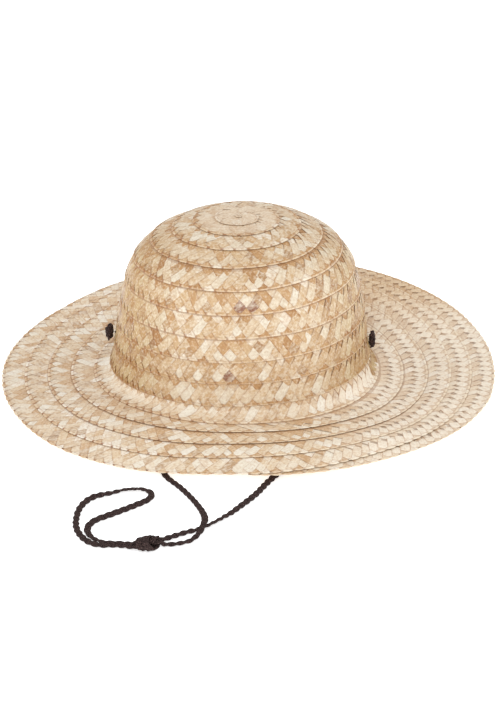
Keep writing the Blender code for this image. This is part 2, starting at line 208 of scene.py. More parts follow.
class HatFace:
    """The hat's outer face, by bearing and by distance from the crown's top along the slope."""

    BEARINGS = 240
    STEP = 0.0005
    REACH = 0.110
    # How far off, in distance and in degrees, two points are read to feel the face's slope
    PROBE = 0.0012
    PROBE_TURN = 1.0
    # At the crown's middle points of different bearings fall together
    TOGETHER = 1e-5 * math.radians(2.0)

    def __init__(self):
        places = CROWN_PROFILE[:, 0]
        squares = CROWN_PROFILE[:, 1] ** 2
        heights = np.cos(np.linspace(0.0, math.pi / 2, 401))
        widths = smooth_value(places, squares, knot_slopes(places, squares), heights)
        widths = np.sqrt(np.maximum(widths, 0.0))
        rise = CROWN_TOP - float(wave_height(0, 0.0))
        steps = np.hypot(np.diff(heights) * rise, np.diff(widths) * CROWN_WIDTH / 2)
        walked = np.concatenate([[0.0], np.cumsum(steps)])
        self.crown_length = float(walked[-1])
        self.distances = np.arange(0.0, self.crown_length + self.REACH, self.STEP)
        on_crown = np.minimum(self.distances, self.crown_length)
        high = np.interp(on_crown, walked, heights)
        wide = np.interp(on_crown, walked, widths)
        rows = []
        for bearing in np.arange(self.BEARINGS) * 360.0 / self.BEARINGS:
            foot = float(wave_height(0, bearing))
            run, height = self.brim_section(bearing)
            rows.append((wide * CROWN_WIDTH / 2 + run, wide * CROWN_DEPTH / 2 + run,
                         np.where(self.distances < self.crown_length,
                                  foot + high * (CROWN_TOP - foot), height)))
        self.table = np.array(rows)
        self.lean = CROWN_LEAN * high

    def brim_section(self, bearing):
        """How far out from the foot, and how high, at each of the table's distances."""
        width = rim_distance(bearing)
        places = np.array([0.0, BEND_LENGTH] + [share * width for share in BRIM_PLACES])
        values = np.array([float(wave_height(column, bearing)) for column in range(5)])
        slopes = knot_slopes(places, values, -math.sin(WALL_SLOPE))
        fine = np.arange(0.0, self.REACH + 0.001, self.STEP / 2)
        inside = np.minimum(fine, width)
        height = smooth_value(places, values, slopes, inside) + (fine - inside) * slopes[-1]
        height = np.maximum(height, BRAID_WALL)
        drop = np.diff(height)
        out = np.sqrt(np.maximum((self.STEP / 2) ** 2 - drop**2, 0.0))
        run = np.concatenate([[0.0], np.cumsum(out)])
        at = np.maximum(self.distances - self.crown_length, 0.0)
        return np.interp(at, fine, run), np.interp(at, fine, height)

    def place(self, bearing, distance):
        """Points on the face. A distance below nought runs on past the crown's middle."""
        bearing = np.where(distance < 0.0, bearing + 180.0, bearing) % 360.0
        column = np.clip(np.abs(distance) / self.STEP, 0.0, len(self.distances) - 1.001)
        row = bearing * self.BEARINGS / 360.0
        low_row, low_column = row.astype(int), column.astype(int)
        row_part, column_part = row - low_row, column - low_column
        low_row = low_row % self.BEARINGS
        high_row = (low_row + 1) % self.BEARINGS

        def read(layer):
            near = self.table[low_row, layer, low_column] * (1 - column_part)
            near = near + self.table[low_row, layer, low_column + 1] * column_part
            far = self.table[high_row, layer, low_column] * (1 - column_part)
            far = far + self.table[high_row, layer, low_column + 1] * column_part
            return near * (1 - row_part) + far * row_part

        lean = self.lean[low_column] * (1 - column_part) + self.lean[low_column + 1] * column_part
        angle = np.radians(bearing)
        return np.stack([read(0) * np.cos(angle) + lean, read(1) * np.sin(angle), read(2)], -1)

    def point(self, bearing, distance, rise):
        """World points raised square to the face."""
        here = self.place(bearing, distance)
        inner, outer = (self.place(bearing, distance + step) for step in (-self.PROBE, self.PROBE))
        left, right = (self.place(bearing + step, distance)
                       for step in (-self.PROBE_TURN, self.PROBE_TURN))
        across = outer - inner
        beside = right - left
        size = np.linalg.norm(beside, axis=-1, keepdims=True)
        sign = np.where(distance < 0.0, -1.0, 1.0)[..., None]
        angle = np.radians(np.where(distance < 0.0, bearing + 180.0, bearing))
        along = np.stack([-np.sin(angle), np.cos(angle), np.zeros_like(angle)], -1)
        along = np.where(size > self.TOGETHER, beside * sign / np.maximum(size, 1e-9), along)
        normal = np.cross(across * sign, along)
        normal /= np.maximum(np.linalg.norm(normal, axis=-1, keepdims=True), 1e-12)
        normal = normal * np.where(normal[..., 2:] < 0.0, -1.0, 1.0)
        flat = np.abs(distance) < self.PROBE
        normal = np.where(flat[..., None], np.array([0.0, 0.0, 1.0]), normal)
        return here + normal * rise[..., None] + AXIS


# Where the braid runs: one spiral, outwards and clockwise from the crown's middle

SPIRAL_START = -0.00236
SPIRAL_PITCH = 0.01607
FIRST_TURN = 10.0
LAST_TURN = 16
# How far the real rows stray from an even spiral, as shares of a row: turn, stray
ROW_STRAY = np.array([
    (0.0, 0.00), (1.25, -0.18), (2.25, -0.24), (3.25, -0.28), (4.25, -0.26), (5.25, -0.15),
    (6.25, -0.12), (7.25, -0.07), (8.25, 0.00), (10.25, 0.03), (11.25, -0.08), (12.25, -0.02),
    (13.25, 0.03), (14.25, 0.05), (15.25, 0.00), (18.0, 0.00),
])
# The middle rows of the brim lie this much further out at the right, and further in at the left
BRIM_MIDDLE_OFFSET = 0.0009
# Small sways of a row's edge: size, waves in one turn, start in degrees
ROW_SWAYS = ((0.00020, 2.9, 40.0), (0.00014, 7.3, 11.0))
# Uneven spacing of the straws along the braid: size, length of a wave, start
STRAW_DRIFTS = ((0.0009, 0.061, 0.0), (0.0005, 0.0237, 1.0))
# Height of the braid's middle over the hat's face at its inner edge, at the lap and at its
# outer edge, and how much lower it lies in the drawn-in tail and past the crown's middle
ROW_LIFTS = (-0.00098, -0.00088, 0.00010)
TAIL_DROP = 0.0010
MIDDLE_DROP = 0.0014


class Braid:
    """The one long braid: its turn at a place along it, and its outer edge at a turn."""

    LEAST_RADIUS = 0.010
    SPARE_TURN = 8.0
    # The last straws end this far before the braid does
    END_ROOM = 0.004

    def __init__(self, face, width):
        self.face = face
        self.width = width
        self.tail = LAST_TURN * 360.0 + TAIL_START
        end = LAST_TURN * 360.0 + TAIL_END + self.SPARE_TURN
        self.turns = np.arange(FIRST_TURN, end, 1.0)
        middle = self.edge(self.turns) - SPIRAL_PITCH / 2
        places = face.place(-self.turns % 360.0, middle)
        radius = np.maximum(np.hypot(places[:, 0], places[:, 1]), self.LEAST_RADIUS)
        steps = np.radians(1.0) * (radius[1:] + radius[:-1]) / 2
        self.walked = np.concatenate([[0.0], np.cumsum(steps)])

    def length(self):
        return float(self.walked[-1]) - self.END_ROOM

    def drawn_in(self, turn):
        """How far the tail is drawn in under the row above, from 0 to a little past 1."""
        return np.clip((turn - self.tail) / (TAIL_END - TAIL_START), 0.0, 1.1)

    def edge(self, turn):
        """Distance of the row's outer edge from the crown's top."""
        even = SPIRAL_START + SPIRAL_PITCH * turn / 360.0
        across = (even - self.face.crown_length) / BRIM_WIDTH
        offset = (BRIM_OFFSET * ease(0.0, 0.4, across)
                  + BRIM_MIDDLE_OFFSET * ease(0.1, 0.4, across) * ease(1.0, 0.7, across))
        stray = np.interp(turn / 360.0, ROW_STRAY[:, 0], ROW_STRAY[:, 1]) * SPIRAL_PITCH
        sway = sum(size * np.sin(np.radians(turn * waves + start)) for size, waves, start in ROW_SWAYS)
        return (even - SPIRAL_PITCH * self.drawn_in(turn) + offset * np.cos(np.radians(turn))
                + stray + sway)

    def point(self, along, across, rise):
        """World points: along the braid, across it from its inner edge, and raised from it."""
        drifted = along
        for size, length, start in STRAW_DRIFTS:
            drifted = drifted + size * np.sin(along * math.tau / length + start)
        turn = np.interp(drifted, self.walked, self.turns)
        distance = self.edge(turn) - self.width + across
        middle = np.interp(across, [0.0, self.width - SPIRAL_PITCH, self.width], ROW_LIFTS)
        middle = middle - TAIL_DROP * np.clip(self.drawn_in(turn) * 2.0, 0.0, 1.0)
        middle = middle - MIDDLE_DROP * ease(0.0, 0.0015, -distance)
        return self.face.point(-turn % 360.0, distance, middle + rise)


# Shader maths

class Socket:
    """A node's output that Python's operators do sums on."""

    def __init__(self, sheet, socket):
        self.sheet = sheet
        self.socket = socket

    def __add__(self, other):
        return self.sheet.sum("ADD", self, other)

    def __radd__(self, other):
        return self.sheet.sum("ADD", other, self)

    def __sub__(self, other):
        return self.sheet.sum("SUBTRACT", self, other)

    def __rsub__(self, other):
        return self.sheet.sum("SUBTRACT", other, self)

    def __mul__(self, other):
        return self.sheet.sum("MULTIPLY", self, other)

    def __rmul__(self, other):
        return self.sheet.sum("MULTIPLY", other, self)


class Finish:
    """One material and its nodes."""

    def __init__(self, name):
        self.material = bpy.data.materials.new(name)
        self.material.use_nodes = True
        self.tree = self.material.node_tree
        self.shader = self.tree.nodes["Principled BSDF"]

    def node(self, kind, settings=None, output=0, **inputs):
        """Add a node: its settings first, then the values or links of its sockets."""
        node = self.tree.nodes.new("ShaderNode" + kind)
        for name, value in (settings or {}).items():
            if name == "stops":
                self.set_stops(node.color_ramp, value)
            else:
                setattr(node, name, value)
        for name, value in inputs.items():
            numbered = name[0] == "i" and name[1:].isdigit()
            self.feed(node.inputs[int(name[1:]) if numbered else name.replace("_", " ")], value)
        return Socket(self, node.outputs[output])

    def set_stops(self, ramp, stops):
        while len(ramp.elements) < len(stops):
            ramp.elements.new(0.5)
        for element, (place, colour) in zip(ramp.elements, stops):
            element.position = place
            element.color = linear(colour)

    def feed(self, target, value):
        if isinstance(value, Socket):
            self.tree.links.new(value.socket, target)
        else:
            target.default_value = value

    def sum(self, operation, first, second=0.0):
        return self.node("Math", {"operation": operation}, i0=first, i1=second)

    def smooth(self, value, low, high):
        settings = {"interpolation_type": "SMOOTHSTEP"}
        return self.node("MapRange", settings, i0=value, i1=low, i2=high)

    def part(self, vector, axis):
        return self.node("SeparateXYZ", None, axis, Vector=vector)

    def ramp(self, value, stops):
        return self.node("ValToRGB", {"stops": stops}, Fac=value)

    def mix(self, share, low, high, blend="MIX"):
        settings = {"data_type": "RGBA", "blend_type": blend}
        return self.node("Mix", settings, output=2, i0=share, i6=low, i7=high)

    def paint(self, share, colour, over):
        """The colour, covered by another one."""
        return self.mix(share, colour, linear(over))

    def stain(self, share, colour, dye):
        """The colour, darkened by another one."""
        return self.mix(share, colour, linear(dye), "MULTIPLY")

    def noise(self, place, scale, detail=2.0):
        return self.node("TexNoise", None, Vector=place, Scale=scale, Detail=detail)

    def streaks(self, place, along, across, detail=2.0):
        """Noise on a piece's own coordinates, drawn out one way."""
        scale = (along, across, 1.0)
        drawn = self.node("Mapping", {"vector_type": "POINT"}, Vector=place, Scale=scale)
        return self.noise(drawn, 1.0, detail)

    def set(self, **values):
        for name, value in values.items():
            self.feed(self.shader.inputs[name.replace("_", " ")], value)


# Screen colours of the straws' glossy faces and of their dull inner ones, darkest first
GLOSSY_STRAW = (
    (0.00, (150, 104, 78)), (0.015, (180, 141, 98)), (0.10, (199, 165, 122)),
    (0.28, (212, 182, 142)), (0.50, (220, 195, 160)), (0.70, (227, 210, 184)),
    (0.86, (231, 222, 204)), (1.00, (238, 233, 220)),
)
INNER_STRAW = (
    (0.00, (182, 140, 92)), (0.20, (200, 162, 116)), (0.42, (208, 174, 132)),
    (0.60, (220, 196, 160)), (0.78, (233, 221, 200)), (1.00, (243, 238, 226)),
)
PALE_PATCH = (237, 229, 211)
BROWN_PATCH = (204, 162, 114)
CROWN_GOLD = (212, 188, 142)
CROWN_MIDDLE = (226, 206, 180)
BRIM_RIGHT_PALE = (250, 240, 222)
BRIM_BACK_SHADE = (214, 184, 138)
FIBRE_LINE = (190, 150, 108)
BLOTCH = (200, 158, 114)
STRAW_EDGE_SHADE = (184, 134, 88)
BROWN_SPECK = (206, 160, 108)
PALE_SPECK = (252, 243, 226)
DIVE_SHADE = (132, 84, 46)
FOLD_LIGHT = (247, 232, 205)
FOLD_GAP_SHADE = (150, 92, 48)
STITCH_HOLE_SHADE = (140, 96, 58)
LAP_SHADE = (150, 100, 58)
YARN_DARK = (6, 3, 4)
YARN_PALE_AND_HIGHLIGHT = (112, 90, 86)
OBJECT_COORDINATES = 3


def straw_finish(name, sizes, side_gold_and_shade):
    """Split wheat straw: a tint for each straw, fine fibres along it, and stitch holes."""
    finish = Finish(name)
    fibre = finish.node("UVMap", {"uv_map": "fibre"})
    row = finish.node("UVMap", {"uv_map": "row"})
    straw = finish.node("Attribute", {"attribute_name": "straw"})
    shade = finish.node("Attribute", {"attribute_name": "straw"}, 3)
    tint, other, dull = (finish.node("SeparateColor", None, part, Color=straw) for part in range(3))
    across = finish.part(fibre, 1)
    row_along = finish.part(row, 0)
    row_across = finish.part(row, 1)
    place = finish.node("TexCoord", None, OBJECT_COORDINATES)
    east = finish.part(place, 0)
    north = finish.part(place, 1)
    axis_x = east - float(AXIS[0])
    axis_y = north - float(AXIS[1])
    from_axis = finish.sum("SQRT", axis_x * axis_x + axis_y * axis_y)
    out_of_middle = finish.smooth(from_axis, 0.020, 0.034)
    east_side = finish.smooth(east, 0.03, 0.10)
    width = sizes.braid_width

    # Glossy and dull faces, with paler or browner stretches along the straw
    patch = finish.smooth(finish.streaks(fibre, 300.0, 1.1), 0.38, 0.62)
    glossy = finish.paint(patch * 0.45, finish.ramp(tint, GLOSSY_STRAW), PALE_PATCH)
    inner = finish.paint(patch * 0.35, finish.ramp(other, INNER_STRAW), BROWN_PATCH)
    colour = finish.mix(dull, glossy, inner)

    # The crown is more golden at its sides, with painted shade darkening them too, and the brim is paler
    # towards its right
    if side_gold_and_shade:
        side_of_crown = finish.smooth(finish.sum("ABSOLUTE", east), 0.035, 0.085)
        colour = finish.stain(0.25 + side_of_crown * side_gold_and_shade, colour, CROWN_GOLD)
        colour = finish.paint((1.0 - out_of_middle) * 0.65, colour, CROWN_MIDDLE)
    else:
        west_side = finish.smooth(east, -0.03, -0.10)
        pale = 0.10 + east_side * (0.72 - dull * 0.30) + west_side * 0.07
        colour = finish.paint(pale, colour, BRIM_RIGHT_PALE)
        # Painted shade: the brim's back right is darkened
        back_right_shade = finish.smooth(north, 0.04, 0.12) * east_side
        colour = finish.stain(back_right_shade * 0.75, colour, BRIM_BACK_SHADE)

    # Fibres and blotches along each straw, painted shade along its edges where the straws meet, and
    # mottling over them all
    lines = finish.smooth(finish.streaks(fibre, 60.0, 6.0, 3.0), 0.30, 0.72)
    blotch = finish.smooth(finish.streaks(fibre, 520.0, 2.2), 0.45, 0.75)
    colour = finish.stain(lines * 0.16, colour, FIBRE_LINE)
    colour = finish.stain(blotch * 0.22, colour, BLOTCH)
    edge = finish.smooth(finish.sum("ABSOLUTE", across), 0.76, 0.97)
    edge = edge * (0.42 + east_side * 0.25) * (0.3 + out_of_middle * 0.7)
    colour = finish.stain(edge, colour, STRAW_EDGE_SHADE)
    speck = finish.noise(place, 620.0, 3.0)
    colour = finish.stain(finish.smooth(speck, 0.50, 0.68) * 0.24, colour, BROWN_SPECK)
    colour = finish.paint(finish.smooth(speck, 0.50, 0.34) * 0.26, colour, PALE_SPECK)

    # Where a straw dives under the next it lies in shade
    colour = finish.paint(finish.smooth(shade, 0.80, 0.25) * 0.60, colour, DIVE_SHADE)

    # The folded outer edge catches the light, with painted shade in the gap between each two folds
    seen = 0.35 + finish.smooth(from_axis, 0.030, 0.070) * 0.65
    bright = (0.08 + finish.smooth(east, -0.10, 0.05) * 0.34) * out_of_middle * seen
    fold = finish.smooth(row_across, width - 0.0011, width - 0.0006)
    colour = finish.paint(fold * bright, colour, FOLD_LIGHT)
    beat = finish.sum("COSINE", (row_along - FIRST_STRAW) * (math.tau / sizes.strand_pitch))
    fold_gap_shade = finish.smooth(beat, -0.55, -0.95) * finish.smooth(row_across, width - 0.0022, width - 0.0008)
    fold_gap_shade = fold_gap_shade * (1.0 - bright * 1.8) * (0.25 + out_of_middle * 0.75)
    colour = finish.paint(fold_gap_shade, colour, FOLD_GAP_SHADE)

    # Just inside the fold runs the line of stitches, their holes darkened with painted shade
    wave = finish.sum("SINE", row_along * (math.tau / sizes.stitch_pitch))
    line = finish.sum("ABSOLUTE", row_across - (width - sizes.stitch_inset))
    line = 1.0 - finish.smooth(line, 0.00010, 0.00038)
    stitch_hole_and_shade = (0.30 + finish.smooth(wave, 0.1, 0.8) * 0.7) * line
    colour = finish.paint(stitch_hole_and_shade * (0.56 - bright * 0.6), colour, STITCH_HOLE_SHADE)

    # The strip just below the row above lies in its shade
    lap = width - SPIRAL_PITCH
    under = (1.0 - finish.smooth(row_across, lap + 0.0001, lap + 0.0006)) * out_of_middle * seen
    ragged = finish.streaks(row, 420.0, 60.0)
    colour = finish.paint(under * (0.10 + ragged * 0.6), colour, LAP_SHADE)

    roughness = 0.38 + dull * 0.20 + lines * 0.10 + stitch_hole_and_shade * 0.2
    height = (1.0 - lines) * 0.5 + (1.0 - stitch_hole_and_shade) * 2.0
    bump = finish.node("Bump", None, Strength=0.35, Distance=0.00008, Height=height)
    finish.set(Base_Color=colour, Roughness=roughness, Normal=bump, Specular_IOR_Level=0.5,
               Coat_Weight=0.10, Coat_Roughness=0.28)
    return finish.material


def cord_finish(name, sizes):
    """Dark brown yarn: many fine threads twisted round each plaited strand."""
    finish = Finish(name)
    yarn = finish.node("UVMap", {"uv_map": "yarn"})
    along = finish.part(yarn, 0)
    around = finish.part(yarn, 1)
    twist = finish.sum("SINE", along * (math.tau / sizes.thread_pitch) + around * (math.tau * 3.0))
    threads = finish.smooth(twist, -0.9, 0.9)
    fuzz = finish.streaks(yarn, 900.0, 14.0, 3.0)
    # Painted highlight: the twisted threads are lighter along their crests, and the fuzz lightens the
    # yarn too
    share = threads * 0.22 + finish.smooth(fuzz, 0.42, 0.68) * 0.5
    colour = finish.mix(share, linear(YARN_DARK), linear(YARN_PALE_AND_HIGHLIGHT))
    height = threads + fuzz * 0.5
    bump = finish.node("Bump", None, Strength=0.6, Distance=0.00010, Height=height)
    finish.set(Base_Color=colour, Roughness=0.85 - threads * 0.1, Normal=bump,
               Specular_IOR_Level=0.12)
    return finish.material


def floor_finish(name, colour, glow):
    """A plain pale floor that gives a little light of its own."""
    finish = Finish(name)
    grain = finish.noise(finish.node("TexCoord", None, OBJECT_COORDINATES), 900.0)
    shade = finish.mix(grain * 0.02, (*colour, 1.0), (0.6, 0.6, 0.6, 1.0))
    finish.set(Base_Color=shade, Roughness=0.7, Specular_IOR_Level=0.1,
               Emission_Color=(1.0, 1.0, 1.0, 1.0), Emission_Strength=glow)
    return finish.material


# Meshes

SHARP_ANGLE = math.radians(70.0)


def add_piece(name, corners, faces, material, attributes=None, uv_maps=None, smooth=None):
    """A closed piece from corner places and four-sided faces, riding on the hat."""
    mesh = bpy.data.meshes.new(name)
    mesh.vertices.add(len(corners))
    mesh.vertices.foreach_set("co", np.asarray(corners, dtype=np.float32).ravel())
    loops = np.asarray(faces, dtype=np.int32)
    mesh.loops.add(loops.size)
    mesh.loops.foreach_set("vertex_index", loops.ravel())
    mesh.polygons.add(len(loops))
    mesh.polygons.foreach_set("loop_start", np.arange(len(loops), dtype=np.int32) * 4)
    mesh.update(calc_edges=True)
    smooth_faces = np.ones(len(loops), dtype=bool) if smooth is None else smooth
    mesh.polygons.foreach_set("use_smooth", smooth_faces)
    for layer, values in (uv_maps or {}).items():
        target = mesh.uv_layers.new(name=layer)
        target.data.foreach_set("uv", np.asarray(values, dtype=np.float32).ravel())
    for layer, values in (attributes or {}).items():
        target = mesh.attributes.new(layer, "FLOAT_COLOR", "CORNER")
        target.data.foreach_set("color", np.asarray(values, dtype=np.float32).ravel())
    mesh.validate()
    if smooth is not None:
        mesh.set_sharp_from_angle(angle=SHARP_ANGLE)
    mesh.materials.append(material)
    piece = bpy.data.objects.new(name, mesh)
    bpy.context.scene.collection.objects.link(piece)
    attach(piece, "root")
    return piece


# Rings of one straw from the row's inner edge (0) to its outer edge (1): place across the
# braid as a share of its width, shear with the crossing straws, height, facing in degrees,
# how much a loose plait pinches it there, and which of its visible parts the ring begins.
# A long straw runs over all but the innermost crossing; a back straw is its mirror in height.
STRAW_RINGS = np.array([
    (0.000, 0.00, 0.00, 90.0, 0.0, 0), (0.016, 0.10, -0.80, 40.0, 0.0, 0),
    (0.080, 0.45, -1.00, 0.0, 0.0, 0), (0.220, 1.00, -1.00, 0.0, 0.2, 0),
    (0.305, 1.00, -0.60, -10.0, 1.0, 1), (0.365, 1.00, 0.70, -8.0, 1.0, 1),
    (0.430, 1.00, 1.00, 0.0, 0.0, 1), (0.505, 1.00, 0.94, 0.0, 0.0, 1),
    (0.595, 1.00, 0.92, 0.0, 0.0, 2), (0.655, 1.00, 0.96, 0.0, 0.0, 2),
    (0.740, 1.00, 1.00, 0.0, 0.0, 2), (0.805, 0.95, 0.60, 10.0, 0.3, 2),
    (0.862, 0.72, -0.55, 10.0, 0.3, 3), (0.930, 0.30, -0.90, 0.0, 0.0, 3),
    (0.980, 0.06, -0.75, -40.0, 0.0, 3), (1.000, 0.00, 0.00, -90.0, 0.0, 3),
])
RING_PLACE, RING_SHEAR, RING_HEIGHT, RING_FACING, RING_PINCH, RING_PART = STRAW_RINGS.T
# Where the plait is loose, on the brim's right, the crossing lies further out
LOOSE_SHIFT = np.array([0.0, 0.0, 0.04, 0.14, 0.20, 0.20, 0.18, 0.15, 0.10, 0.05, 0.02, 0, 0, 0, 0, 0])
# Heights from the fifth ring on where the middle crossing lies the other way
TURNED_HEIGHTS = np.array([-1.0, -1.0, -1.0, -1.0, -0.8, 0.7])
# The middle ring of a straw's visible face, for a front straw and for a back one
VISIBLE_RINGS = (7, 3)
# A straw's section: five corners on its rounded face and three on its flat underside. Places
# across it as shares of half its width, and how much lower than its middle the face lies.
SECTION_ACROSS = np.array([-1.0, -0.5, 0.0, 0.5, 1.0, 0.94, 0.0, -0.94])
SECTION_DROP = np.array([1.0, 0.25, 0.0, 0.25, 1.0, 0.0, 0.0, 0.0])
SECTION_UNDER = np.array([0, 0, 0, 0, 0, 1, 1, 1])
SECTION_CAPS = ((0, 7, 6, 1), (1, 6, 3, 2), (3, 6, 5, 4))
STRAND_COUNT = 4
FIRST_STRAW = 0.004
VISIBLE_PARTS = 4

# Turns of the spiral: the bend at the crown's foot begins and is full, then ends; the brim's
# plait begins to loosen; its folds begin to bulge; and the rim's row begins
BEND_IN = (8.9, 9.25)
BEND_OUT = (11.6, 11.2)
LOOSEN = (10.0, 10.8)
BULGE = (9.8, 10.6)
RIM_TURN = (LAST_TURN - 1) * 360.0 + TAIL_START
# In the bend the flat underside would come through the hollow face, so it lies lower
BEND_UNDERSIDE = 0.0004
# Shares of the straws that sink a little at their middle and whose middle crossing is turned
DIPPED_SHARE = 0.4
DIP = 0.35
TURNED_SHARE = 0.35
# Spread of each straw's own small faults: its width as a share, its shift along the braid, its
# roll as a slope, its height and its slant. A loose straw's shift and slant are up to about
# three times as large.
WIDTH_SPREAD = 0.035
SHIFT_SPREAD = 0.00008
ROLL_SPREAD = 0.016
HEIGHT_SPREAD = 0.00004
SLANT_SPREAD = 0.012
LOOSE_GAIN = 2.0
# How much a loose straw is pinched where it crosses the others
PINCH = 0.11


# Straws that stand out on the crown's front: a place and which visible part is stained
STAINED = (
    ((0.0045, -0.0792, 0.0900), 2), ((-0.0040, -0.0815, 0.0850), 2), ((-0.0202, -0.0848, 0.0639), 2),
    ((-0.0106, -0.0906, 0.0406), 2), ((-0.0186, -0.0904, 0.0354), 2),
)
STAIN_REACH = 0.006


def looseness(bearing):
    """The plait is looser on the hat's right side and back, where its gaps show."""
    return 0.10 + 0.90 * ease(0.05, 0.75, np.cos(np.radians(bearing) - 0.15))


def straw_heights(rng, turn, bend, back):
    """Each straw's height at its rings, as shares of half the height between crossing straws."""
    count = len(turn)
    height = np.repeat(RING_HEIGHT[None, :], count, 0)
    dipped = (rng.uniform(0.0, 1.0, count) < DIPPED_SHARE) & (bend == 0.0) & (not back)
    height[:, 7:9] -= np.where(dipped, DIP, 0.0)[:, None]
    # The middle crossing joins a straw with the back straw two places before it
    crossing = np.random.default_rng(83).uniform(0.0, 1.0, count + 2)
    crossing = crossing[2:] if back else crossing[:-2]
    turned = (crossing < TURNED_SHARE) & (looseness(-turn) < 0.5) & (bend == 0.0)
    height[turned, 4:10] = TURNED_HEIGHTS
    return -height if back else height


def straw_legs(braid, sizes, back):
    """Corners, fibre and row coordinates and shade of all the straws that lean one way."""
    rng = np.random.default_rng(41 if back else 17)
    pitch = sizes.strand_pitch
    width = sizes.braid_width
    side = -1.0 if back else 1.0
    lean = STRAND_COUNT * pitch / 2 / width
    count = int(braid.length() / pitch) - STRAND_COUNT
    legs = np.arange(count)
    start = (legs + (STRAND_COUNT if back else 0)) * pitch + FIRST_STRAW
    turn = np.interp(start, braid.walked, braid.turns)
    spiral = turn / 360.0
    bend = ease(*BEND_IN, spiral) * ease(*BEND_OUT, spiral)
    height = straw_heights(rng, turn, bend, back)
    height = height * (sizes.weave_height * (1.0 + bend[:, None]))

    half = pitch / 2 * sizes.straw_fill
    across = SECTION_ACROSS * half
    thick = sizes.straw_thickness / 2
    lift = np.where(SECTION_UNDER == 1, -thick * 0.9, thick - sizes.straw_crown * SECTION_DROP)
    facing = np.radians(RING_FACING) * side

    # Every straw's own small faults
    loose = looseness(-turn) * rng.uniform(0.5, 1.1, count) * (1.0 - 0.8 * bend)
    narrow = 1.0 + rng.uniform(-WIDTH_SPREAD, WIDTH_SPREAD, count)
    shift = rng.normal(0.0, SHIFT_SPREAD, count) * (1.0 + LOOSE_GAIN * loose)
    roll = rng.normal(0.0, ROLL_SPREAD, count)
    raise_by = rng.normal(0.0, HEIGHT_SPREAD, count)
    slant = rng.normal(0.0, SLANT_SPREAD, count) * (1.0 + LOOSE_GAIN * loose)
    fibre_start = rng.uniform(0.0, 40.0, count)

    # Places on the braid: t across it and s along it, by straw, ring and corner
    pinch = 1.0 - PINCH * loose[:, None] * RING_PINCH
    middle_part = np.sin(np.pi * RING_PLACE) ** 0.5
    side_step = across * (narrow[:, None] * pinch)[..., None]
    side_step = side_step + (shift[:, None] * middle_part)[..., None]
    moved = looseness(-turn) * ease(*LOOSEN, spiral) * (1.0 - 0.7 * bend)
    ring_place = (RING_PLACE + moved[:, None] * LOOSE_SHIFT) * width
    t = ring_place[..., None] - side * RING_SHEAR[:, None] * side_step / (2 * lean)
    # Each fold bulges a little past the row's edge
    scallop = 0.00010 + 0.00025 * ease(*BULGE, spiral) + 0.0006 * (turn > RIM_TURN)
    scallop = scallop[:, None] * (RING_PLACE > 0.9)
    t = t - scallop[..., None] * ((side_step / half) ** 2 - 0.3)
    s = start[:, None, None] + side * lean * np.clip(t, 0.0, width) + side_step
    s = s + slant[:, None, None] * (t - width / 2) * middle_part[:, None]
    under = BEND_UNDERSIDE * SECTION_UNDER * bend[:, None, None]
    rise = (height[..., None] + lift * np.cos(facing)[:, None] - under
            + (roll[:, None, None] * side_step + raise_by[:, None, None]) * middle_part[:, None])
    corners = braid.point(s, t + lift * np.sin(facing)[:, None], rise)

    along = t * math.hypot(1.0, lean) + fibre_start[:, None, None]
    fibre = np.stack(np.broadcast_arrays(along, side_step / half), -1)
    row = np.stack(np.broadcast_arrays(s, t), -1)
    dives = RING_PINCH * (height < 0.0)
    shade = np.broadcast_to((1.0 - dives * (0.15 + 0.85 * loose[:, None]))[..., None], t.shape)
    middle = braid.edge(turn) - width / 2
    return corners, fibre, row, shade, middle, legs


def straw_tints(legs, seed, fresh_seed):
    """Two random shares for each visible part of each straw.

    One long straw keeps its tint over several folds, and some parts differ from it.
    """
    rng = np.random.default_rng(seed)
    fresh = np.random.default_rng(fresh_seed)
    strand = legs % STRAND_COUNT
    turn = legs // STRAND_COUNT
    lengths = rng.integers(2, 6, size=(STRAND_COUNT, turn.max() + 2))
    bases = np.zeros((2, len(legs)))
    for which in range(STRAND_COUNT):
        ends = np.cumsum(lengths[which])
        mine = strand == which
        straw = np.searchsorted(ends, turn[mine], side="right")
        for base in bases:
            base[mine] = rng.uniform(0.0, 1.0, size=len(ends) + 1)[straw]
    shares = []
    size = (len(legs), VISIBLE_PARTS)
    for base in bases:
        parts = base[:, None] + fresh.normal(0.0, 0.10, size)
        changed = fresh.uniform(0.0, 1.0, size) < 0.22
        parts = np.where(changed, fresh.uniform(0.0, 1.0, size), parts)
        shares.append(np.clip(parts, 0.02, 1.0)[:, RING_PART.astype(int)])
    return shares


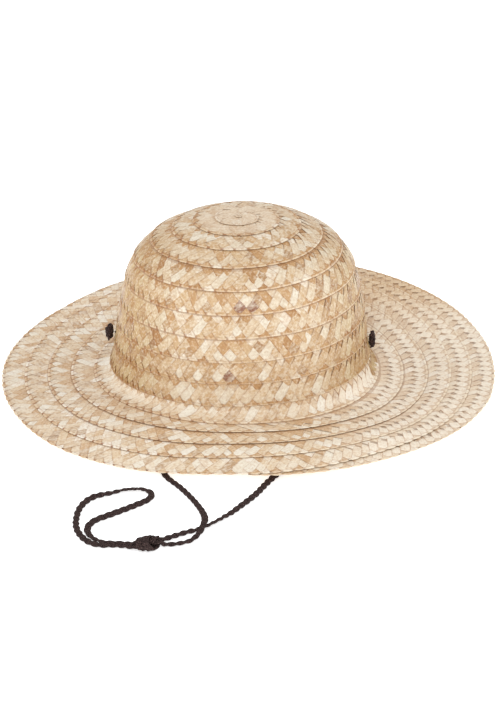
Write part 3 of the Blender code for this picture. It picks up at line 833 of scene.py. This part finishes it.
def plait_mesh(parts):
    """Faces and layers of straws given as grids of rings by corners."""
    corners, faces, fibres, rows, colours, flats = [], [], [], [], [], []
    base = 0
    for points, fibre, row, shade, tint, other, back in parts:
        count, rings, sides, _ = points.shape
        grid = np.arange(count * rings * sides).reshape(count, rings, sides)
        here, there = grid[:, :-1], grid[:, 1:]
        here_next, there_next = np.roll(here, -1, 2), np.roll(there, -1, 2)
        order = (here, there, there_next, here_next) if back else (here, here_next, there_next, there)
        quads = [np.stack(order, -1).reshape(-1, 4)]
        begins = [here.reshape(-1)]
        for end, flip in ((0, back), (-1, not back)):
            for loop in SECTION_CAPS:
                cap = grid[:, end][:, loop]
                quads.append(cap[:, ::-1] if flip else cap)
                begins.append(cap[:, 0])
        quads = np.concatenate(quads)
        ring = np.concatenate(begins) // sides
        top = np.tile(1 - SECTION_UNDER, count * rings)[quads]
        is_top = top.min(axis=1)
        flats.append((is_top == 1) | (top.max(axis=1) == 0))
        colour = np.ones((len(quads), 4, 4))
        colour[..., 0] = tint.reshape(-1)[ring][:, None]
        colour[..., 1] = other.reshape(-1)[ring][:, None]
        colour[..., 2] = (is_top == (1 if back else 0))[:, None]
        colour[..., 3] = shade.reshape(-1)[quads]
        corners.append(points.reshape(-1, 3))
        faces.append(quads + base)
        fibres.append(fibre.reshape(-1, 2)[quads])
        rows.append(row.reshape(-1, 2)[quads])
        colours.append(colour)
        base += count * rings * sides
    return [np.concatenate(layer) for layer in (corners, faces, fibres, rows, colours, flats)]


def add_plait(name, braid, sizes, material, low, high):
    """The braid's straws whose middles lie between two distances from the crown's top."""
    parts = []
    for back in (False, True):
        points, fibre, row, shade, middle, legs = straw_legs(braid, sizes, back)
        tint, other = straw_tints(legs, 5, 23 if back else 29)
        for place, part in STAINED:
            away = np.linalg.norm(points[:, VISIBLE_RINGS[back], 2] - np.array(place), axis=1)
            if away.min() < STAIN_REACH:
                tint[np.argmin(away), RING_PART == part] = 0.0
        chosen = (middle >= low) & (middle < high)
        layers = [layer[chosen] for layer in (points, fibre, row, shade, tint, other)]
        parts.append((*layers, back))
    corners, faces, fibre, row, colour, flat = plait_mesh(parts)
    return add_piece(name, corners, faces, material,
                     {"straw": colour}, {"fibre": fibre, "row": row}, flat)


# Cords

YARN_COUNT = 3
YARN_SIDES = 8


def smooth_route(points, spacing):
    """Points along a smooth curve through the route's own points."""
    knots = np.asarray(points, dtype=float)
    ends = np.vstack([2 * knots[0] - knots[1], knots, 2 * knots[-1] - knots[-2]])
    out = [knots[0]]
    for before, start, end, after in zip(ends, ends[1:], ends[2:], ends[3:]):
        length = np.linalg.norm(end - start)
        lead = (end - before) * length / (length + np.linalg.norm(start - before))
        follow = (after - start) * length / (length + np.linalg.norm(after - end))
        parts = max(1, round(length / spacing))
        for count in range(1, parts + 1):
            t = count / parts
            out.append(start * (2 * t**3 - 3 * t**2 + 1) + lead * (t**3 - 2 * t**2 + t)
                       + end * (3 * t**2 - 2 * t**3) + follow * (t**3 - t**2))
    return np.array(out)


def walked_lengths(path):
    """How far along a path each of its points lies."""
    return np.concatenate([[0.0], np.cumsum(np.linalg.norm(np.diff(path, axis=0), axis=1))])


def even_path(path, spacing):
    """The same path with its points evenly spaced."""
    walked = walked_lengths(path)
    at = np.linspace(0.0, walked[-1], max(2, round(walked[-1] / spacing)) + 1)
    return np.stack([np.interp(at, walked, path[:, axis]) for axis in range(3)], -1)


def unit(vectors):
    return vectors / np.maximum(np.linalg.norm(vectors, axis=-1, keepdims=True), 1e-12)


def cord_frames(path, upright, twist):
    """Tangent, flat side's direction and face direction at each point of a flat cord."""
    tangent = unit(np.gradient(path, axis=0))
    face = upright - tangent * np.sum(upright * tangent, axis=1, keepdims=True)
    face = unit(face)
    beside = np.cross(face, tangent)
    turn = np.radians(twist)[:, None]
    face, beside = (face * np.cos(turn) + beside * np.sin(turn),
                    beside * np.cos(turn) - face * np.sin(turn))
    return tangent, beside, face


def plaited_cord(path, upright, twist, sizes):
    """Three yarns plaited flat along a path: corners, faces and yarn coordinates."""
    tangent, beside, face = cord_frames(path, upright, twist)
    walked = walked_lengths(path)
    swing = sizes.cord_width / 2 - sizes.yarn_width / 2
    lift = sizes.cord_thickness / 2 - sizes.yarn_thickness / 2
    around = np.arange(YARN_SIDES) * math.tau / YARN_SIDES
    wide = np.cos(around) * sizes.yarn_width / 2
    thick = np.sin(around) * sizes.yarn_thickness / 2
    corners, faces, maps = [], [], []
    for yarn in range(YARN_COUNT):
        phase = walked / sizes.plait_length * math.tau + yarn * math.tau / YARN_COUNT
        centre = (path + beside * (swing * np.sin(phase))[:, None]
                  + face * (lift * np.sin(2 * phase))[:, None])
        ring = (centre[:, None, :] + beside[:, None, :] * wide[None, :, None]
                + face[:, None, :] * thick[None, :, None])
        # A smaller ring rounds off each end
        ends = []
        for end, towards in ((0, -1.0), (-1, 1.0)):
            small = centre[end] + (ring[end] - centre[end]) * 0.45
            ends.append(small + tangent[end] * towards * sizes.yarn_thickness * 0.3)
        rings = np.concatenate([ends[0][None], ring, ends[1][None]])
        grid = np.arange(rings.shape[0] * YARN_SIDES).reshape(-1, YARN_SIDES)
        here, there = grid[:-1], grid[1:]
        quads = np.stack([here, np.roll(here, -1, 1), np.roll(there, -1, 1), there], -1)
        caps = [grid[0][[first + 3, first + 2, first + 1, 0]] for first in range(0, YARN_SIDES - 2, 2)]
        caps += [grid[-1][[0, first + 1, first + 2, first + 3]] for first in range(0, YARN_SIDES - 2, 2)]
        quads = np.concatenate([quads.reshape(-1, 4), np.array(caps)])
        far = np.concatenate([[walked[0]], walked, [walked[-1]]])
        place = np.repeat(far, YARN_SIDES)
        turn = np.tile(np.arange(YARN_SIDES) / YARN_SIDES, len(rings))
        coordinates = np.stack([place[quads], turn[quads]], -1)
        # A face that closes the round runs on past 1
        wraps = np.ptp(coordinates[..., 1], axis=1) > 0.5
        coordinates[..., 1] += wraps[:, None] & (coordinates[..., 1] < 0.5)
        corners.append(rings.reshape(-1, 3))
        faces.append(quads + yarn * grid.size)
        maps.append(coordinates)
    return np.concatenate(corners), np.concatenate(faces), np.concatenate(maps)


def add_cord_piece(name, path, upright, twist, sizes, material):
    corners, faces, yarn = plaited_cord(path, upright, twist, sizes)
    return add_piece(name, corners, faces, material, None, {"yarn": yarn})


def chin_cord_path(spacing):
    """From the left knot down, through the chin knot, round the loop and back to the right."""
    first, second = KNOT_PASSES
    route = LEFT_ROUTE + first + LOOP_ROUTE + second + RIGHT_ROUTE[::-1]
    return even_path(smooth_route(route, spacing), spacing)


def wound_path(turns, reach, rise, length, tilt, swell):
    """A strand wound round the x axis, ends tucked in: its path and outward directions."""
    part = np.linspace(0.0, 1.0, int(turns * 26))
    angle = math.tau * turns * part
    tucked = ease(0.0, 0.07, part) * ease(1.0, 0.93, part)
    size = np.interp(part, np.linspace(0.0, 1.0, len(swell)), swell) * (0.25 + 0.75 * tucked)
    path = np.stack([(part - 0.5) * length + tilt * np.cos(angle + 0.6),
                     reach * size * np.cos(angle), rise * size * np.sin(angle)], -1)
    outward = np.stack([np.zeros_like(angle), np.cos(angle), np.sin(angle)], -1)
    return path, outward


def cord_twist(path):
    """The flat cord's turn about its own line, in degrees, at each point of the path."""
    walked = walked_lengths(path)
    # Points lifted over another strand, and for the strand to the right the first half, are
    # put out of reach, so that each turn is found on its own stretch
    out_of_reach = 10.0
    lifted = out_of_reach * (path[:, 2] > LIFTED_HEIGHT)
    first_half = out_of_reach * (np.arange(len(path)) < len(path) * 0.5)
    keys = [(0.0, 0.0), (float(walked[-1]), 0.0)]
    for turns, barred in ((LOOP_TURNS, lifted), (CORD_TURNS, lifted + first_half)):
        for (x, y), angle in turns:
            away = np.hypot(path[:, 0] - x, path[:, 1] - y) + barred
            keys.append((float(walked[int(np.argmin(away))]), angle))
    places, angles = np.array(sorted(keys)).T
    wander = 7.0 * np.sin(walked * 41.0) + 5.0 * np.sin(walked * 87.0 + 1.0)
    return np.interp(walked, places, angles) + wander


def cord_upright(path):
    """Which way the flat cord faces: up on the surface, inwards against the crown's wall."""
    tangent = unit(np.gradient(path, axis=0))
    inwards = unit(np.stack([-path[:, 0], -path[:, 1], np.zeros(len(path))], -1))
    steep = ease(0.25, 0.8, np.abs(tangent[:, 2]))
    on_wall = steep * (np.abs(path[:, 0]) > WALL_DISTANCE)
    up = np.array([0.0, 0.0, 1.0])
    return unit(up * (1.0 - on_wall)[:, None] + inwards * on_wall[:, None])


def settle_cord(path, twist, sizes):
    """The route's height is a round cord's. The flat one lies as low as its turn lets it."""
    turn = np.radians(twist)
    reach = (np.abs(np.cos(turn)) * sizes.cord_thickness / 2
             + np.abs(np.sin(turn)) * sizes.cord_width / 2)
    above = np.maximum(path[:, 2] - ROUTE_FLOOR, 0.0)
    low = reach + FLOOR_ROOM + above * 0.62
    on_wall = ease(0.004, 0.010, path[:, 2]) * (path[:, 1] > WALL_FRONT)
    in_knot = ease(0.0105, 0.0085, np.abs(path[:, :2] - KNOT_CENTRE).sum(axis=1))
    keep = np.maximum(on_wall, in_knot)
    settled = path.copy()
    settled[:, 2] = path[:, 2] * keep + low * (1.0 - keep)
    return settled


# Settings

def length(name, description, default):
    return FloatProperty(name=name, description=description, default=default, unit="LENGTH")


class HATSCENE_PG_straw(bpy.types.PropertyGroup):
    braid_width: length("Braid width", "Width of the flat plait", 0.0200)
    strand_pitch: length("Straw pitch", "Spacing of the straws along the braid", 0.0072)
    straw_fill: FloatProperty(
        name="Straw fill", description="Width of a straw as a share of the room between its neighbours",
        default=1.10, subtype="FACTOR")
    straw_thickness: length("Straw thickness", "Thickness of one split straw", 0.0002)
    straw_crown: length("Straw crown", "How much lower a straw's edges are than its middle", 0.00005)
    weave_height: length("Weave height", "Half the height between crossing straws", 0.0002)
    stitch_pitch: length("Stitch pitch", "Spacing of the sewing stitches", 0.0050)
    stitch_inset: length("Stitch inset", "Distance of the stitches from the row's outer edge", 0.0017)


class HATSCENE_PG_cord(bpy.types.PropertyGroup):
    cord_width: length("Cord width", "Width of the flat plaited cord", 0.0046)
    cord_thickness: length("Cord thickness", "Thickness of the flat plaited cord", 0.0021)
    yarn_width: length("Yarn width", "Width of one yarn of the cord", 0.0025)
    yarn_thickness: length("Yarn thickness", "Thickness of one yarn of the cord", 0.00135)
    plait_length: length("Plait length", "Length of one full round of the three yarns", 0.0165)
    thread_pitch: length("Thread pitch", "Length of one twist of a yarn's threads", 0.0011)
    step: length("Step", "Spacing of the cord's rings", 0.0008)


class HATSCENE_PG_stage(bpy.types.PropertyGroup):
    floor_size: length("Floor size", "Side of the floor", 8.0)
    floor_colour: FloatVectorProperty(
        name="Floor colour", description="Colour of the plain floor", default=(0.93, 0.93, 0.93),
        size=3, subtype="COLOR")
    floor_glow: FloatProperty(
        name="Floor glow", description="Light of the lit floor, which softens the shadows",
        default=0.62)
    lens: FloatProperty(
        name="Lens", description="Focal length in millimetres on a sensor 36 mm wide",
        default=147.97)
    key_power: FloatProperty(
        name="Key light", description="Power of the large soft light above the front",
        default=19.5, subtype="POWER")
    fill_power: FloatProperty(
        name="Fill light", description="Power of the soft lights at the sides",
        default=8.0, subtype="POWER")
    sky: FloatProperty(
        name="Sky", description="Strength of the even white surroundings", default=0.74)


class HATSCENE_PG_settings(bpy.types.PropertyGroup):
    straw: PointerProperty(type=HATSCENE_PG_straw)
    cord: PointerProperty(type=HATSCENE_PG_cord)
    stage: PointerProperty(type=HATSCENE_PG_stage)


# Operators

# How golden the crown's sides are, and how much painted shade darkens them
CROWN_SIDE_GOLD_AND_SHADE = 0.75
# Where the crown and the brim are parted into two pieces each
SHOULDER = 0.60
BRIM_MIDDLE = 0.52
# Distances from the crown's top that lie before the first row and past the last one
BEFORE_ALL = -1.0
PAST_ALL = 1.0
# Each knot: its node, the axis and the degrees that it is turned by, its strand as
# wound_path takes it, and its shift from the middle of its node
KNOTS = (
    ("chin_knot", "Z", 16.0, (2.35, 0.0046, 0.0034, 0.0092, 0.0034, (1.0, 0.84, 1.05, 1.10, 0.55)),
     (0.0009, -0.0028, -0.0002)),
    ("side_knot_left", "Y", 90.0, (2.8, 0.0026, 0.0018, 0.0086, 0.0012, (1.0, 1.2, 1.0, 0.6)),
     (0.0, 0.0, 0.0)),
    ("side_knot_right", "Y", 90.0, (2.8, 0.0018, 0.0014, 0.0096, 0.0010, (0.5, 1.0, 1.1, 0.6)),
     (-0.0012, 0.0, 0.0)),
)
# Length of cord in the chin knot's turns, which the path passes straight through
CAMERA_PLACE = (0.00157, -1.31335, 0.65777)
CAMERA_FORWARD = (0.0, 0.8966, -0.4428)
CAMERA_ROLL = -0.01085
SENSOR_WIDTH = 36.0
LIGHT_COLOUR = (0.965, 0.988, 1.0)
LIGHT_AIM = (0.0, 0.0, 0.05)


def deselect_all():
    for item in bpy.context.selected_objects:
        item.select_set(False)


class HATSCENE_OT_crown(bpy.types.Operator):
    """Plait the crown's rows, from its middle down to its foot"""
    bl_idname = "hatscene.crown"
    bl_label = "Crown Rows"

    def execute(self, context):
        sizes = context.scene.hatscene.straw
        face = HatFace()
        braid = Braid(face, sizes.braid_width)
        finish = straw_finish("crown_straw", sizes, CROWN_SIDE_GOLD_AND_SHADE)
        shoulder = face.crown_length * SHOULDER
        for name, low, high in (("crown_top_plait", BEFORE_ALL, shoulder),
                                ("crown_side_plait", shoulder, face.crown_length)):
            piece = add_plait(name, braid, sizes, finish, low, high)
            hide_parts("crown")
        return {"FINISHED"}


class HATSCENE_OT_brim(bpy.types.Operator):
    """Plait the brim's rows, from the crown's foot out to the rim"""
    bl_idname = "hatscene.brim"
    bl_label = "Brim Rows"

    def execute(self, context):
        sizes = context.scene.hatscene.straw
        face = HatFace()
        braid = Braid(face, sizes.braid_width)
        finish = straw_finish("brim_straw", sizes, 0.0)
        foot = face.crown_length
        middle = foot + BRIM_WIDTH * BRIM_MIDDLE
        for name, low, high in (("brim_inner_plait", foot, middle),
                                ("brim_outer_plait", middle, PAST_ALL)):
            piece = add_plait(name, braid, sizes, finish, low, high)
            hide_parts("brim")
        return {"FINISHED"}


class HATSCENE_OT_cord(bpy.types.Operator):
    """Plait the chin cord along its route and tie its knots"""
    bl_idname = "hatscene.cord"
    bl_label = "Chin Cord"

    def execute(self, context):
        sizes = context.scene.hatscene.cord
        finish = cord_finish("cord_yarn", sizes)
        route = chin_cord_path(sizes.step)
        twist = cord_twist(route)
        path = settle_cord(route, twist, sizes)
        cord = add_cord_piece("chin_cord", path + AXIS, cord_upright(path), twist, sizes, finish)
        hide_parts("cord_left", "cord_right", "cord_loop")
        knots = [self.add_knot(sizes, finish, *knot) for knot in KNOTS]
        tuple(path[0] + AXIS)
        [tuple(point) for point in path + AXIS]
        return {"FINISHED"}

    def add_knot(self, sizes, finish, node, axis, degrees, winding, shift):
        """One knot of the cord, wound about its node's middle."""
        low, high = (np.array(corner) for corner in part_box(node))
        turn = np.array(Matrix.Rotation(math.radians(degrees), 3, axis))
        path, outward = (part @ turn.T for part in wound_path(*winding))
        path = path + (low + high) / 2 + np.array(shift)
        piece = add_cord_piece(node + "_yarn", path, outward, np.zeros(len(path)), sizes, finish)
        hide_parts(node)
        return piece


class HATSCENE_OT_stage(bpy.types.Operator):
    """Add the floor, the lights and the camera"""
    bl_idname = "hatscene.stage"
    bl_label = "Stage"

    def execute(self, context):
        look = context.scene.hatscene.stage
        deselect_all()
        bpy.ops.mesh.primitive_plane_add(size=look.floor_size, location=(0.0, 0.0, 0.0))
        floor = context.object
        floor.name = "floor"
        floor.data.materials.append(floor_finish("floor_pale", look.floor_colour, look.floor_glow))
        self.add_camera(context, look)
        self.add_lights(context, look)
        return {"FINISHED"}

    def add_camera(self, context, look):
        camera = bpy.data.cameras.new("camera")
        camera.lens = look.lens
        camera.sensor_width = SENSOR_WIDTH
        camera.sensor_fit = "HORIZONTAL"
        camera.clip_end = 50.0
        item = bpy.data.objects.new("camera", camera)
        context.scene.collection.objects.link(item)
        forward = Vector(CAMERA_FORWARD).normalized()
        right = Vector((1.0, 0.0, 0.0))
        up = right.cross(forward)
        right, up = (right * math.cos(CAMERA_ROLL) + up * math.sin(CAMERA_ROLL),
                     up * math.cos(CAMERA_ROLL) - right * math.sin(CAMERA_ROLL))
        turn = Matrix((right, up, -forward)).transposed().to_4x4()
        item.matrix_world = Matrix.Translation(CAMERA_PLACE) @ turn
        context.scene.camera = item

    def add_lights(self, context, look):
        self.add_light(context, "key", (-0.10, -1.7, 1.7), 1.3, look.key_power)
        self.add_light(context, "fill_left", (-1.9, 0.2, 0.9), 1.4, look.fill_power)
        self.add_light(context, "fill_right", (1.9, 0.1, 1.0), 1.4, look.fill_power)
        world = bpy.data.worlds.new("surroundings")
        world.use_nodes = True
        background = world.node_tree.nodes["Background"]
        background.inputs["Color"].default_value = (1.0, 1.0, 1.0, 1.0)
        background.inputs["Strength"].default_value = look.sky
        context.scene.world = world
        context.scene.view_settings.view_transform = "Standard"

    def add_light(self, context, name, place, size, power):
        light = bpy.data.lights.new(name, "AREA")
        light.shape = "SQUARE"
        light.size = size
        light.energy = power
        light.color = LIGHT_COLOUR
        item = bpy.data.objects.new(name, light)
        context.scene.collection.objects.link(item)
        item.location = place
        aim = Vector(LIGHT_AIM) - Vector(place)
        item.rotation_euler = aim.to_track_quat("-Z", "Y").to_euler()


class HATSCENE_PT_panel(bpy.types.Panel):
    """Lists the hat's settings and the buttons that build it"""
    bl_idname = "HATSCENE_PT_panel"
    bl_label = "Straw Hat"
    bl_space_type = "VIEW_3D"
    bl_region_type = "UI"
    bl_category = "Straw Hat"

    def draw(self, context):
        settings = context.scene.hatscene
        for group in (settings.straw, settings.cord, settings.stage):
            box = self.layout.box()
            for name in group.bl_rna.properties.keys():
                if name not in ("rna_type", "name"):
                    box.prop(group, name)
        for operator in (HATSCENE_OT_stage, HATSCENE_OT_cord, HATSCENE_OT_crown, HATSCENE_OT_brim):
            self.layout.operator(operator.bl_idname)


CLASSES = (
    HATSCENE_PG_straw, HATSCENE_PG_cord, HATSCENE_PG_stage, HATSCENE_PG_settings,
    HATSCENE_OT_crown, HATSCENE_OT_brim, HATSCENE_OT_cord, HATSCENE_OT_stage, HATSCENE_PT_panel,
)


def register():
    for item in CLASSES:
        bpy.utils.register_class(item)
    bpy.types.Scene.hatscene = PointerProperty(type=HATSCENE_PG_settings)


def unregister():
    del bpy.types.Scene.hatscene
    for item in reversed(CLASSES):
        bpy.utils.unregister_class(item)


def main():
    register()
    bpy.ops.hatscene.stage()
    bpy.ops.hatscene.cord()
    bpy.ops.hatscene.crown()
    bpy.ops.hatscene.brim()


if __name__ == "__main__":
    main()
